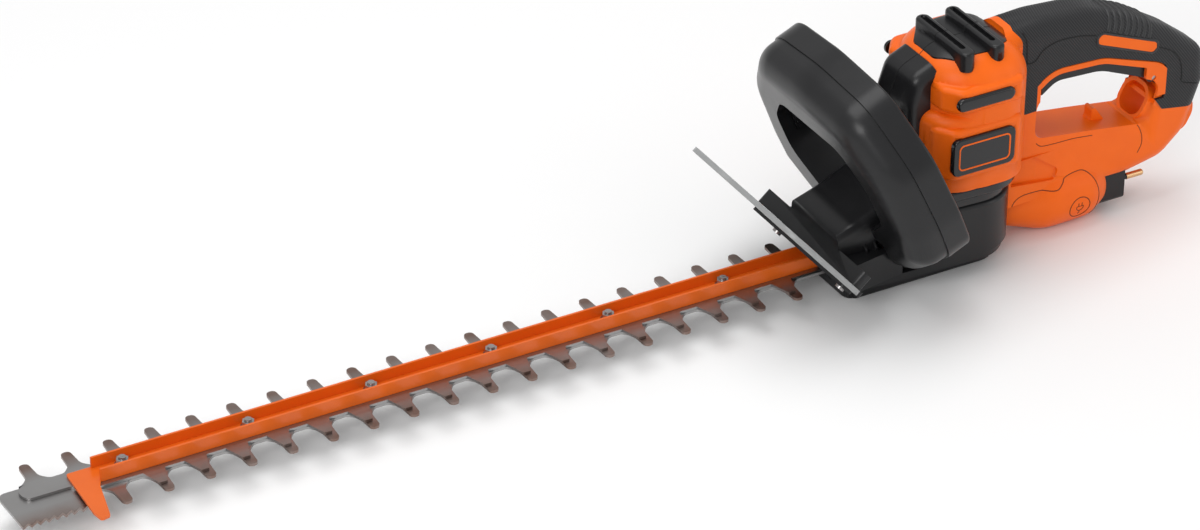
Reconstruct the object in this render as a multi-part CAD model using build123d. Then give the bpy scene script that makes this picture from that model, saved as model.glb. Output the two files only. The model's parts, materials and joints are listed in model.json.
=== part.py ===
from build123d import *
import math
import os

os.makedirs("parts", exist_ok=True)

# Corded hedge trimmer, in millimetres. +X runs to the rear handle, the blade reaches to -X, +Z is up.
# The origin is under the motor axis, on the plane that the gear cover stands on.

# Cutting blades
PITCH = 30.0
BLADE_T = 2.0
UPPER_Z = 22.0
LOWER_Z = 19.9
STRIP_HALF = 12.5
LONG_TIP = 34.5
SHORT_TIP = 27.5
FAR_FIRST = -697.0
FAR_COUNT = 20
NEAR_FIRST = -652.0
NEAR_COUNT = 18
STROKE = 7.5
SLOT_R = 4.3

# Support rail and its fasteners
RAIL_HALF = 8.4
RAIL_WALL = 1.7
RAIL_Z = 24.1
RAIL_TOP = 33.8
RAIL_FRONT = -660.0
RAIL_REAR = -77.0
BOLT_FIRST = -640.7
BOLT_PITCH = 91.3
BOLT_COUNT = 6
RAIL_PINS = (-99.0, -85.0)
RAIL_PIN_Z = 30.0

# Drive: motor on a vertical axis at X = 0, gear axis in front of it
MODULE = 1.0
PINION_TEETH = 12
GEAR_TEETH = 60
GEAR_X = -MODULE * (PINION_TEETH + GEAR_TEETH) / 2
CAM_R = 9.0
SHAFT_R = 4.0
RUN = 0.05
SPLIT_Z = 19.0
BULKHEAD_Z = 47.0
BULKHEAD_TOP = 54.0
COLLAR_Z = 60.0
COLLAR_BAND_Z = 67.5
CASE_TOP = 76.0
COVER_SCREWS = ((-94, -27), (-94, 27), (26, -26), (26, 26))
COVER_HEAD_Z = 15.5
STATOR_R = 36.0
STATOR_Z = (84.0, 120.0)
ARMATURE_R = 20.8

# Motor housing
DOME_TOP = 175.0
DOME_HALF = 45.5
CROWN = 24.0
SHOULDER = 136.0
SPINE_HALF = 22.0
WALL = 3.0
PAD_FACE = 47.0
BADGE = dict(x=(-29.5, 22.0), z=(93.0, 122.5))
BAR = dict(x=(-27.0, 20.0), z=(144.0, 154.0))
PADS = ((87.5, 128.0, -38.0), (139.5, 158.5, -33.0))
TRIM_SEAT = 45.7
TRIM_FACE = 49.5
RIB_X = (-11.0, 13.5)
RIB_Y = -4.0
RIB_TOP = 181.4
VENT_FLOOR = 167.0

# Bail handle: a closed loop in a plane that leans forward
BAIL_LEAN = 24.0
BAIL_ORIGIN = (-50.0, 0.0, 44.0)
BAIL_FRONT = 25.0
BAIL_REAR = 19.0
LEVER_TRAVEL = 4.0
BAIL_HOLLOW_FOOT = 40

# Hand guard: a flat plate that leans forward
GUARD_LEAN = 41.0
GUARD_FOOT = (-115.5, 0.0, 38.6)
GUARD_WIDTH = 144.0
GUARD_HEIGHT = 84.0
GUARD_T = 4.0
GUARD_SCREWS = (-42.0, 42.0)

# Rear handle
GRIP_HALF = 18.5
CORE_HALF = 16.0
RUBBER = 2.5
STRIPE = (7.0, 11.5)
SLOT_TOP = 12.2
# In side view: the rubber's extent, the hook on the lower bar, and the sunk panel under it on both sides
GRIP_ZONE = [(54, 200), (40, 174), (45, 168, 10), (45, 110, 5), (50.5, 106.5, 4), (61, 107), (64, 118, 8),
             (110, 122, 40), (150, 110, 20), (168, 98), (160, 92), (170, 78), (215, 70), (240, 80), (240, 200)]
CORD_HOOK = [(114, 71), (133, 66), (128, 76, 8), (121.5, 85, 1.5), (118.5, 85.5, 1.5), (118.5, 78, 6)]
POCKET = [(40, 51), (45, 69, 3), (60, 70, 6), (82, 54, 4), (80, 45, 4)]
POCKET_DEPTH = 2.0
HOUSING_SCREWS = ((42, 96), (42, 142), (80, 58), (128, 53))
SCREW_HEAD_Y = 12.0
TRIGGER_HALF = 15.4
TRIGGER_PIVOT = (161.0, 106.0)

# Plug inlet
PLUG_Z = 23.0
PIN_R = 2.4
PIN_GAP = 19.0
PLUG_FACE = 143.0
SLEEVE_R = 2.0
SLEEVE_OUT = 6.0
CORE_R = 1.5
PIN_TIP = 1.9
PIN_END = PLUG_FACE + SLEEVE_OUT + 13.0 + PIN_TIP

# Parts let into others: the second is cut out of the first where they meet
SEATS = (("gear_housing", "guard_clamp"), ("housing_left", "gear_housing"), ("housing_right", "gear_housing"),
         ("housing_left", "cord_retainer"), ("housing_right", "cord_retainer"))

lean = math.radians(BAIL_LEAN)
BAIL_UP = (-math.sin(lean), 0, math.cos(lean))
BAIL_PLANE = Plane(BAIL_ORIGIN, x_dir=(0, 1, 0), z_dir=(math.cos(lean), 0, math.sin(lean)))
tip = math.radians(GUARD_LEAN)
GUARD_PLANE = Plane(GUARD_FOOT, x_dir=(0, 1, 0), z_dir=(math.cos(tip), 0, math.sin(tip)))
SIDE = Plane.XZ


def outline(corners):
    """A face in XY from corners (x, y) or (x, y, radius), each radius a tangent arc."""
    starts, middles, ends = [], [], []
    count = len(corners)
    for i, corner in enumerate(corners):
        here = Vector(corner[0], corner[1])
        radius = corner[2] if len(corner) > 2 else 0
        if radius == 0:
            starts.append(here)
            middles.append(None)
            ends.append(here)
            continue
        back = (Vector(*corners[i - 1][:2]) - here).normalized()
        on = (Vector(*corners[(i + 1) % count][:2]) - here).normalized()
        half = math.radians(back.get_angle(on)) / 2
        reach = radius / math.tan(half)
        starts.append(here + back * reach)
        middles.append(here + (back + on).normalized() * (radius / math.sin(half) - radius))
        ends.append(here + on * reach)
    edges = []
    for i in range(count):
        if middles[i] is not None:
            edges.append(ThreePointArc(starts[i], middles[i], ends[i]))
        following = starts[(i + 1) % count]
        if (following - ends[i]).length > 1e-4:
            edges.append(Line(ends[i], following))
    face = Face(Wire(edges))
    return face if face.normal_at().Z > 0 else -face


def soften(body, edges, radius):
    """Rounds edges with the largest of a few radii that the shape allows."""
    for share in (1.0, 0.8, 0.6, 0.4, 0.2):
        try:
            return fillet(edges, radius * share)
        except ValueError:
            continue
    return body


def block(x, y, z):
    """A box from three (low, high) ranges."""
    size = [b - a for a, b in (x, y, z)]
    middle = [(a + b) / 2 for a, b in (x, y, z)]
    return Pos(*middle) * Box(*size)


def upright(radius, low, high, x=0.0, y=0.0):
    return Pos(x, y, (low + high) / 2) * Cylinder(radius, high - low)


def ring(outer, inner, low, high, x=0.0, y=0.0):
    return upright(outer, low, high, x, y) - upright(inner, low - 1, high + 1, x, y)


def along_x(radius, low, high, y=0.0, z=0.0):
    return Pos((low + high) / 2, y, z) * Rot(0, 90, 0) * Cylinder(radius, high - low)


def along_y(radius, low, high, x=0.0, z=0.0):
    return Pos(x, (low + high) / 2, z) * Rot(90, 0, 0) * Cylinder(radius, high - low)


def prism(corners, low, high):
    """An outline in plan, extruded from one height to another."""
    return Pos(0, 0, low) * extrude(outline(corners), high - low)


def side_prism(face, half):
    """A face drawn in side view (X, Z), extruded to both sides of the middle plane."""
    return extrude(SIDE * face, half, both=True)


def slab(plane, face, low, high):
    """A face in a leaning plane, extruded between two distances along its normal."""
    return extrude(plane.offset(low) * face, high - low)


def halves(shape):
    near = shape & block((-400, 400), (-200, 0), (-50, 300))
    far = shape & block((-400, 400), (0, 200), (-50, 300))
    return near, far


def mirrored(shape):
    return mirror(shape, about=Plane.XZ)


def spring(radius, wire, height, turns):
    """A coil spring standing on the origin."""
    path = Helix(height / turns, height, radius)
    section = Plane(path @ 0, z_dir=path % 0) * Circle(wire)
    return sweep(section, path)


NODES = {}


def keep(name, *solids):
    """Adds solids to the node of this name."""
    NODES.setdefault(name, []).extend(solids)


# ---- Cutting blades -------------------------------------------------------------------------------

def finger(x):
    """Corners of a long blunt finger with a rounded tip on a flared root, as (x, distance from the middle)."""
    return [(x - 10, STRIP_HALF, 5), (x - 4.4, STRIP_HALF + 6, 8), (x - 3.4, LONG_TIP, 3.2),
            (x + 3.4, LONG_TIP, 3.2), (x + 4.4, STRIP_HALF + 6, 8), (x + 10, STRIP_HALF, 5)]


def short_tooth(x):
    """Corners of a ground cutting tooth, shorter than the fingers and square at its tip."""
    return [(x - 8, STRIP_HALF), (x - 2.8, SHORT_TIP), (x + 2.8, SHORT_TIP), (x + 8, STRIP_HALF)]


def blade(tip_corners, near_teeth, far_teeth, z):
    """A blade from its tip, the teeth of both edges, and the ring at its inner end.

    The ring is open enough for its cam at every angle of the gear and every place of the blade.
    """
    reach = CAM_R + STROKE
    long_half = reach + STROKE + 6.5
    wide_half = reach + 5.5
    near = [(x, -y, *r) for tooth in near_teeth for x, y, *r in tooth]
    far = [corner for tooth in far_teeth for corner in reversed(tooth)]
    ring_corners = [(GEAR_X - long_half, -wide_half, 8), (GEAR_X + long_half, -wide_half, 12),
                    (GEAR_X + long_half, wide_half, 12), (GEAR_X - long_half, wide_half, 8)]
    neck = GEAR_X - long_half
    body = extrude(outline([*near, (neck, -STRIP_HALF, 3), *ring_corners, (neck, STRIP_HALF, 3), *far,
                            *tip_corners]), BLADE_T)
    opening = RectangleRounded(2 * (reach + STROKE + 0.5), 2 * (reach + 0.4), 9)
    body -= Pos(GEAR_X, 0) * extrude(opening, BLADE_T)
    for k in range(BOLT_COUNT):
        slot = SlotOverall(2 * (STROKE + SLOT_R), 2 * SLOT_R)
        body -= Pos(BOLT_FIRST + BOLT_PITCH * k, 0) * extrude(slot, BLADE_T)
    return Pos(0, 0, z) * body


def upper_blade():
    near = [short_tooth(NEAR_FIRST - 2 + PITCH * k) for k in range(1, NEAR_COUNT)]
    far = [finger(FAR_FIRST + PITCH * k) for k in reversed(range(FAR_COUNT))]
    tip_end = [(-713, STRIP_HALF, 8), (-711, -3.5, 6), (-679, -3.5, 5), (-668, -STRIP_HALF, 4)]
    return blade(tip_end, near, far, UPPER_Z)


def lower_blade():
    near = [finger(NEAR_FIRST + PITCH * k) for k in range(NEAR_COUNT)]
    far = [short_tooth(FAR_FIRST + 2 + PITCH * k) for k in reversed(range(2, FAR_COUNT))]
    saw_end = [(-664, STRIP_HALF), (-725, 13.0, 6)]
    for k in range(8):
        x = -724 + 6.0 * k
        saw_end += [(x, -29.0), (x + 5.2, -25.5)]
    return blade([*saw_end, (-674, -29.0), (-668, -STRIP_HALF, 3)], near, far, LOWER_Z)


# ---- Support rail and blade fasteners ------------------------------------------------------------

def support_rail():
    """A folded channel, open upwards, with a flat hooked plate at the tip."""
    channel = block((RAIL_FRONT, RAIL_REAR), (-RAIL_HALF, RAIL_HALF), (RAIL_Z, RAIL_TOP))
    inside = RAIL_HALF - RAIL_WALL
    channel -= block((RAIL_FRONT - 1, RAIL_REAR + 1), (-inside, inside), (RAIL_Z + RAIL_WALL, RAIL_TOP + 1))
    hook = prism([(-677.5, RAIL_HALF, 2), (RAIL_FRONT, RAIL_HALF), (RAIL_FRONT + 8, RAIL_HALF),
                  (RAIL_FRONT + 8, -RAIL_HALF), (RAIL_FRONT, -RAIL_HALF), (-663, -14, 5),
                  (-671, -48, 2), (-678, -49.5, 2), (-679.5, -40, 3)], RAIL_Z, RAIL_Z + RAIL_WALL)
    rail = channel + hook
    for k in range(BOLT_COUNT):
        rail -= upright(2.55, RAIL_Z - 1, RAIL_Z + 4, BOLT_FIRST + BOLT_PITCH * k)
    for x in RAIL_PINS:
        rail -= along_y(2.05, -20, 20, x, RAIL_PIN_Z)
    return rail


def blade_fasteners():
    floor = RAIL_Z + RAIL_WALL
    for k in range(BOLT_COUNT):
        x = BOLT_FIRST + BOLT_PITCH * k
        screw = upright(2.5, 17.4, 33.0, x) + (upright(5.2, 15.4, 17.4, x) - upright(2.2, 15.0, 16.4, x))
        washer = ring(8.0, 2.55, 17.4, 19.0, x)
        spacer = ring(4.0, 2.55, 19.0, RAIL_Z, x)
        nut = Pos(x, 0, floor + 1.3) * extrude(RegularPolygon(4.5, 6), 4.4) + upright(5.6, floor, floor + 1.3, x)
        nut -= upright(2.52, floor - 1, floor + 8, x)
        keep("blade_screws", screw)
        keep("blade_washers", washer)
        keep("blade_spacers", spacer)
        keep("blade_nuts", nut)


# ---- Gears, spindle and cams ----------------------------------------------------------------------

def gear_face(teeth, phase):
    """An involute spur gear's outline, with a little backlash."""
    pressure = math.radians(20)
    pitch_r = MODULE * teeth / 2
    base_r = pitch_r * math.cos(pressure)
    tip_r = pitch_r + MODULE * 0.95
    root_r = pitch_r - MODULE * 1.25
    start_r = max(base_r, root_r)
    half_pitch = math.pi / (2 * teeth) + math.tan(pressure) - pressure - 0.06 * MODULE / pitch_r
    points = []
    for tooth in range(teeth):
        centre = 2 * math.pi * tooth / teeth + phase
        flank = []
        for step in range(4):
            r = start_r + (tip_r - start_r) * step / 3
            roll = math.acos(min(1.0, base_r / r))
            flank.append((r, half_pitch - (math.tan(roll) - roll)))
        flank.insert(0, (root_r, flank[0][1]))
        for r, a in flank:
            points.append((r * math.cos(centre - a), r * math.sin(centre - a)))
        for r, a in reversed(flank):
            points.append((r * math.cos(centre + a), r * math.sin(centre + a)))
    return Face(Wire.make_polygon([Vector(*p) for p in points], close=True))


def drive():
    pinion = Pos(0, 0, 35.5) * extrude(gear_face(PINION_TEETH, math.pi / PINION_TEETH), 9)
    keep("motor_pinion", pinion - upright(3.0, 30, 50))
    gear = Pos(GEAR_X, 0, 37) * extrude(gear_face(GEAR_TEETH, 0.0), 6)
    gear += upright(10, 31, 37, GEAR_X)
    for k in range(6):
        a = math.radians(60 * k + 30)
        gear -= upright(6, 36.9, 44, GEAR_X + 19 * math.cos(a), 19 * math.sin(a))
    keep("drive_gear", gear - upright(SHAFT_R, 20, 50, GEAR_X))
    keep("gear_spindle", upright(SHAFT_R, 7.2, 53.0, GEAR_X))
    for name, z, side in (("upper_cam", UPPER_Z + 0.1, 1), ("lower_cam", LOWER_Z + 0.1, -1)):
        cam = upright(CAM_R, z, z + 1.8, GEAR_X, side * STROKE) + upright(7, z, z + 1.8, GEAR_X)
        keep(name, cam - upright(SHAFT_R, z - 1, z + 3, GEAR_X))
    keep("cam_spacer", ring(6.5, SHAFT_R, 24.2, 30.9, GEAR_X))
    for name, x, low, high, outer in (("gear_bearing_lower", GEAR_X, 7.2, 12.2, 9.5),
                                      ("gear_bearing_upper", GEAR_X, 47.5, 52.5, 9.5),
                                      ("motor_bearing_lower", 0, 47.5, 53.5, 11.0),
                                      ("motor_bearing_upper", 0, 150.0, 156.0, 9.5)):
        race = ring(outer, outer - 2.2, low, high, x) + ring(SHAFT_R + 2, SHAFT_R + RUN, low, high, x)
        race += ring(outer - 2.2, SHAFT_R + 2, low + 0.8, high - 0.8, x)
        keep(name, race)


# ---- Motor ----------------------------------------------------------------------------------------

def sector(inner, outer, start, sweep_deg, low, high):
    """A piece of a ring about the motor axis."""
    tube = ring(outer, inner, low, high)
    reach = outer * 3
    corners = [(0, 0)]
    for k in range(5):
        a = math.radians(start + sweep_deg * k / 4)
        corners.append((reach * math.cos(a), reach * math.sin(a)))
    return tube & prism(corners, low - 1, high + 1)


def motor():
    low, high = STATOR_Z
    keep("armature_shaft", upright(SHAFT_R, 45, 157.5) + upright(2.98, 35.2, 45))
    core = upright(ARMATURE_R, low, high)
    for k in range(12):
        a = math.radians(30 * k)
        core -= upright(1.6, low - 1, high + 1, 18.6 * math.cos(a), 18.6 * math.sin(a))
    keep("armature_core", core - upright(SHAFT_R, low - 1, high + 1))
    for z0, z1 in ((low - 9, low), (high, high + 9)):
        keep("armature_windings", fillet(upright(17.5, z0, z1).edges().filter_by(GeomType.CIRCLE), 3)
             - upright(SHAFT_R, z0 - 1, z1 + 1))
    commutator = ring(11.5, SHAFT_R, 132, 144)
    for k in range(12):
        a = math.radians(30 * k + 15)
        commutator -= Pos(11.2 * math.cos(a), 11.2 * math.sin(a), 139) * Rot(0, 0, math.degrees(a)) * Box(2, 0.6, 11)
    keep("commutator", commutator)
    fan = ring(9, SHAFT_R, 60, 71) + ring(35, 8.5, 60, 61.6)
    for k in range(11):
        fan += Rot(0, 0, 360 / 11 * k) * Pos(21, 0, 66) * Rot(0, 0, 24) * Box(23, 1.6, 9)
    keep("cooling_fan", fan)

    stator = ring(STATOR_R, 21.4, low, high)
    coils = []
    for turn in (0, 180):
        coil = sector(24, 31, turn - 50, 100, low - 8, high + 8) - sector(20, 35, turn - 36, 72, low - 1, high + 1)
        coils.append(coil)
        for side in (-1, 1):
            middle = turn + side * 43
            stator -= sector(23.7, 31.3, middle - 7.6, 15.2, low - 1, high + 1)
    keep("stator_core", stator)
    keep("field_coils", *coils)
    for side in (-1, 1):
        brush = block((-3, 3), (12, 26), (135, 142)) if side > 0 else block((-3, 3), (-26, -12), (135, 142))
        box = block((-5, 5), (14.5, 31), (133, 144)) - block((-3.05, 3.05), (14, 30), (134.95, 142.05))
        keep("carbon_brushes", brush)
        keep("brush_holders", box if side > 0 else mirrored(box))
        coil = Pos(0, 26.6, 138.5) * Rot(-90, 0, 0) * spring(2.0, 0.35, 2.9, 3)
        keep("brush_springs", coil if side > 0 else mirrored(coil))


# ---- Gear case ------------------------------------------------------------------------------------

def guard_face(grow, top, low):
    """The guard's rounded outline in its own plane."""
    half = GUARD_WIDTH / 2 + grow
    return outline([(-half, low, 4), (half, low, 4), (half, top, 16), (-half, top, 16)])


def case_body(inset):
    """The case round the gear and the foot of the motor, and the neck that runs forward to the guard."""
    i = inset
    tub = prism([(-58 + i, -38 + i, 22), (40 - i, -44 + i, 34), (40 - i, 44 - i, 34), (-58 + i, 38 - i, 22)],
                SPLIT_Z + i, COLLAR_Z)
    tub = soften(tub, tub.faces().sort_by(Axis.Z)[-1].edges(), 3)
    neck_side = outline([(-110, SPLIT_Z), (-110, 60 - i), (-92, 66 - i, 30), (-66, 78 - i, 30), (-50, 98 - i, 8),
                         (-38, 98 - i), (-38, SPLIT_Z)])
    neck = side_prism(neck_side, 31 - i)
    crown = neck.edges().filter_by(lambda e: e.center().Z > 56).filter_by(
        lambda e: abs(abs(e.center().Y) - (31 - i)) < 0.01)
    return tub + soften(neck, crown, 15 - i / 2)


def case_foot():
    """The broad foot behind the guard."""
    return prism([(-108, -46, 4), (-86, -42, 10), (-60, -38), (-60, 38), (-86, 42, 10), (-108, 46, 4)], SPLIT_Z, 42)


def gear_housing():
    body = case_body(0) + case_foot()
    flange = slab(GUARD_PLANE, outline([(-37, -30), (37, -30), (64, -5, 3), (66, 4, 4), (-66, 4, 4), (-64, -5, 3)]), 0.1, 12)
    body += flange & block((-200, 0), (-90, 90), (SPLIT_Z, 120))
    # cavity for the gear, the blade yokes and the rail's end
    body -= prism([(-84, -35, 14), (8, -35, 20), (8, 35, 20), (-84, 35, 14)], SPLIT_Z - 1, BULKHEAD_Z)
    body -= block((-170, -70), (-14.2, 14.2), (SPLIT_Z - 1, 24.4))
    body -= block((-170, -70), (-RAIL_HALF - 0.05, RAIL_HALF + 0.05), (24, RAIL_TOP + 0.05))
    for x in RAIL_PINS:
        body -= along_y(2.0, -20, 20, x, RAIL_PIN_Z)
    # upper side: bearing seats in the bulkhead and the bay under the fan
    for x, radius, top in ((GEAR_X, 9.5, 52.5), (0, 11.0, 53.5)):
        body -= upright(radius, BULKHEAD_Z - 0.6, top, x)
        body -= upright(SHAFT_R + 1, BULKHEAD_Z - 5, BULKHEAD_TOP + 8, x)
    body -= prism([(-42, -34, 20), (36, -38, 30), (36, 38, 30), (-42, 34, 20)], BULKHEAD_TOP, COLLAR_Z + 1)
    # room for the front cover's lower edge
    body -= block((-45, -30), (-20, 20), (72, 99))
    for x, y in COVER_SCREWS:
        body -= upright(1.9, SPLIT_Z - 1, SPLIT_Z + 14, x, y)
    for y in GUARD_SCREWS:
        body -= GUARD_PLANE * Pos(y, -10, 0) * Cylinder(1.9, 18)
    return body


def collar_outline(inset):
    i = inset
    return [(-50 + i, -41 + i, 26), (44 - i, -46 + i, 34), (44 - i, 46 - i, 34), (-50 + i, 41 - i, 26)]


def collar():
    """The glossy band between the gear case and the motor housing, on a narrower neck."""
    band = prism(collar_outline(0), COLLAR_BAND_Z, CASE_TOP)
    rims = band.faces().sort_by(Axis.Z)[0].edges() + band.faces().sort_by(Axis.Z)[-1].edges()
    body = soften(band, rims, 2.5) + prism(collar_outline(4.5), COLLAR_Z, COLLAR_BAND_Z + 1)
    body -= prism(collar_outline(7.5), COLLAR_Z - 1, CASE_TOP + 1)
    neck = case_body(0) & block((-60, -37), (-40, 40), (COLLAR_Z - 1, CASE_TOP + 1))
    return body - neck


def gear_cover():
    """The lower case half. Its flat underside is what the trimmer stands on."""
    rim = prism([(-104, -34, 8), (-60, -38, 30), (37, -41, 32), (37, 41, 32), (-60, 38, 30), (-104, 34, 8)],
                13, SPLIT_Z)
    sole = prism([(-98, -27, 10), (32, -27, 18), (32, 27, 18), (-98, 27, 10)], 0, 15)
    sole = soften(sole, sole.faces().sort_by(Axis.Z)[0].edges(), 3)
    body = rim + sole
    body -= prism([(-82, -24, 10), (6, -24, 12), (6, 24, 12), (-82, 24, 10)], 4, SPLIT_Z + 1)
    body -= prism([(-74, -33, 14), (4, -33, 14), (4, 33, 14), (-74, 33, 14)], 15, SPLIT_Z + 1)
    body -= prism([(14, -20, 6), (27, -20, 6), (27, 20, 6), (14, 20, 6)], 4, SPLIT_Z - 3)
    body += upright(13, 3.5, 12.2, GEAR_X)
    body -= upright(9.5, 7.2, 13, GEAR_X)
    body -= upright(SHAFT_R + 1, 6, 13, GEAR_X)
    body -= block((-110, -80), (-14.2, 14.2), (14.5, SPLIT_Z + 1))
    for x, y in COVER_SCREWS:
        body -= upright(2.1, -1, SPLIT_Z + 1, x, y) + upright(4.2, -1, COVER_HEAD_Z, x, y)
    return body


def guard():
    plate = slab(GUARD_PLANE, guard_face(0, GUARD_HEIGHT, 0), -GUARD_T, 0)
    clamp = slab(GUARD_PLANE, outline([(-37, -31), (37, -31), (68, -5, 4), (68, -0.1), (-68, -0.1), (-68, -5, 4)]),
                 -GUARD_T, 0)
    clamp += slab(GUARD_PLANE, outline([(-42, -19, 3), (42, -19, 3), (60, -4, 3), (60, 7, 3), (-60, 7, 3),
                                        (-60, -4, 3)]), -GUARD_T - 2.5, -GUARD_T)
    clamp &= block((-200, 0), (-90, 90), (SPLIT_Z, 120))
    clamp -= block((-170, -70), (-14.2, 14.2), (SPLIT_Z - 1, 24.4))
    clamp -= block((-170, -70), (-RAIL_HALF - 0.05, RAIL_HALF + 0.05), (24, RAIL_TOP + 0.05))
    for y in GUARD_SCREWS:
        hole = GUARD_PLANE * Pos(y, -10, -2) * Cylinder(2.1, 30)
        clamp -= hole
        screw = GUARD_PLANE * Pos(y, -10, 0.5) * Cylinder(1.9, 15)
        screw += GUARD_PLANE * Pos(y, -10, -GUARD_T - 3.5) * (Cylinder(3.6, 2) - Pos(0, 0, -1) * Cylinder(1.5, 1.6))
        keep("guard_screws", screw)
    keep("guard_plate", plate)
    keep("guard_clamp", clamp)


# ---- Bail handle ----------------------------------------------------------------------------------

def bail_outer(inset):
    """The loop's outside, as half an outline mirrored: broad flat top, long legs and a vee foot."""
    i = inset
    half = [(18 - i / 2, -27 + i, 24), (64 - i / 2, -2 + i, 30), (93 - i, 22 + i, 20), (96 - i, 52, 60),
            (90 - i, 103, 50), (59 - i / 2, 144.5 - i, 34)]
    top = [(0, 151 - i, 100)]
    return outline([(-y, s, r) for y, s, r in half] + top + [(y, s, r) for y, s, r in reversed(half)])


def bail_opening(grow):
    g = grow
    half = [(34 + g, 27 - g, 10 + g), (60 + g, 50 - g / 2, 22 + g), (60 + g, 84 + g / 2, 26 + g),
            (38 + g / 2, 111 + g, 20 + g)]
    return outline([(-y, s, r) for y, s, r in half] + [(y, s, r) for y, s, r in reversed(half)])


def bail_core():
    """The hollow's outside, from the foot up."""
    half = [(78, BAIL_HOLLOW_FOOT), (81, 62, 40), (75, 100, 50), (49, 132, 30)]
    return outline([(-y, *rest) for y, *rest in half] + [(y, *rest) for y, *rest in reversed(half)])


def bail_slab(face, low, high):
    return slab(BAIL_PLANE, face, low, high)


def bail_region(foot, low, high):
    """All of the loop's plane above one height in it, between two depths."""
    return bail_slab(outline([(-150, foot), (150, foot), (150, 250), (-150, 250)]), low, high)


def bail_ring(outer, inner, foot, low, high):
    """A band between two outlines of the loop, above one height."""
    band = bail_slab(outer, low, high) - bail_slab(inner, low - 1, high + 1)
    return band & bail_region(foot, low - 1, high + 1)


def case_clearance():
    """The gear case and everything inside it, as one body for cutting the loop's foot."""
    collar_space = prism(collar_outline(-0.3), COLLAR_Z - 0.3, CASE_TOP + 0.3)
    return case_body(0) + case_foot() + block((-80, 40), (-43, 43), (SPLIT_Z, 60)) + collar_space


def bail_shell(grow, low, high, rim, radius):
    """One half of the loop: its outside rounded at one rim, then opened and hollowed."""
    outer = bail_slab(bail_outer(-grow), low, high)
    rims = outer.edges().filter_by(lambda e: abs(BAIL_PLANE.to_local_coords(e.center()).Z - rim) < 0.1)
    shell = soften(outer, rims, radius) - bail_slab(bail_opening(0), -60, 60)
    shell -= bail_ring(bail_core(), bail_opening(9.5), BAIL_HOLLOW_FOOT, -BAIL_FRONT + 10, BAIL_REAR - 6)
    for lift in (0, LEVER_TRAVEL):
        shell -= Pos(*(lift * c for c in BAIL_UP)) * bail_ring(bail_opening(6.4), bail_opening(-3), 61.6, -15.3, 9.3)
    shell -= case_clearance()
    return max(shell.solids(), key=lambda piece: piece.volume)


def bail():
    keep("bail_front_shell", bail_shell(0, -BAIL_FRONT, 0, -BAIL_FRONT, 19))
    keep("bail_rear_shell", bail_shell(1.2, 0, BAIL_REAR, BAIL_REAR, 2.5))

    lever = bail_ring(bail_opening(6.0), bail_opening(-1.5), 62, -15, 9)
    for k in range(-7, 8):
        lever += BAIL_PLANE * Pos(5.0 * k, 109.9, -3) * Box(2.2, 2.6, 21)
    for side in (-1, 1):
        for k in range(5):
            lever += BAIL_PLANE * Pos(side * 58.2, 65 + 4.6 * k, -3) * Box(2.6, 2.0, 21)
    keep("bail_lever", max(lever.solids(), key=lambda piece: piece.volume))


# ---- Motor housing and rear handle -----------------------------------------------------------------

def dome(inset):
    """The motor cover: an upper part with a narrow nose and a crowned top, and a fuller nose under its shoulder."""
    i = inset
    half = DOME_HALF - i
    upper = prism([(-36 + i, -half, 40 - i), (44 - i, -half, 28 - i), (44 - i, half, 28 - i), (-36 + i, half, 40 - i)],
                  CASE_TOP + 0.05, DOME_TOP - i)
    upper = soften(upper, upper.faces().sort_by(Axis.Z)[-1].edges(), CROWN - i)
    half -= 1
    nose = prism([(-42.5 + i, -half, 33 - i), (38 - i, -half, 28 - i), (38 - i, half, 28 - i),
                  (-42.5 + i, half, 33 - i)], CASE_TOP + 0.05, SHOULDER - i)
    return upper + soften(nose, nose.faces().sort_by(Axis.Z)[-1].edges(), 9 - i)


def handle_outline(inset):
    i = inset
    return outline([(30, CASE_TOP - 20), (30, DOME_TOP - i), (64, 177 - i, 60), (104, 174 - i, 70),
                    (142, 160 - i, 80), (178 - i / 2, 138.5 - i, 70), (209 - i, 115 - i / 2, 18),
                    (210 - i, 92, 20), (196 - i, 52 + i / 2, 26), (176 - i / 2, 34 + i, 25), (140, 27 + i, 40),
                    (96, 27 + i)])


def finger_hole(grow):
    """The opening of the rear handle, between the trigger and the lower bar."""
    g = grow
    return outline([(60 - g, 84 - g, 8 + g), (60 - g, 112 + g / 2, 14 + g), (78 - g / 2, 125 + g, 16 + g),
                    (116, 123 + g, 40), (168 + g, 101 + g, 11 + g), (158 + g, 70 - g, 8), (112, 77 - g, 60)])


def d_handle(inset, half, hole_grow):
    return side_prism(handle_outline(inset), half) - side_prism(finger_hole(hole_grow), half + 5)


def rounded_handle(inset, half, radius):
    body = side_prism(handle_outline(inset), half)
    rims = body.edges().filter_by(lambda e: abs(abs(e.center().Y) - half) < 0.01 and e.center().X > 40)
    return soften(body, rims, radius) - side_prism(finger_hole(0), half + 5)


def inlet_bulge(inset):
    """The rounded body round the cord inlet, with the web that joins it to the lower bar."""
    i = inset
    half = outline([(33 + i, 0), (37 + i, 13 - i, 11), (76, 26.5 - i, 50), (112, 26 - i, 22), (127 - i, 18 - i, 5),
                    (127 - i, 0)])
    barrel = Pos(0, 0, 25) * revolve(half, Axis.X)
    web = prism([(20, -22 + i, 4), (120 - i, -16 + i, 8), (120 - i, 16 - i, 8), (20, 22 - i, 4)], 34, 70)
    return barrel + web




def grip_zone():
    """The rubber's extent in side view: the arch of the handle above the orange stripe."""
    zone = outline(GRIP_ZONE)
    stripe = finger_hole(STRIPE[1]) & (Pos(116, 120) * Rectangle(112, 60))
    return zone - stripe


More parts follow.
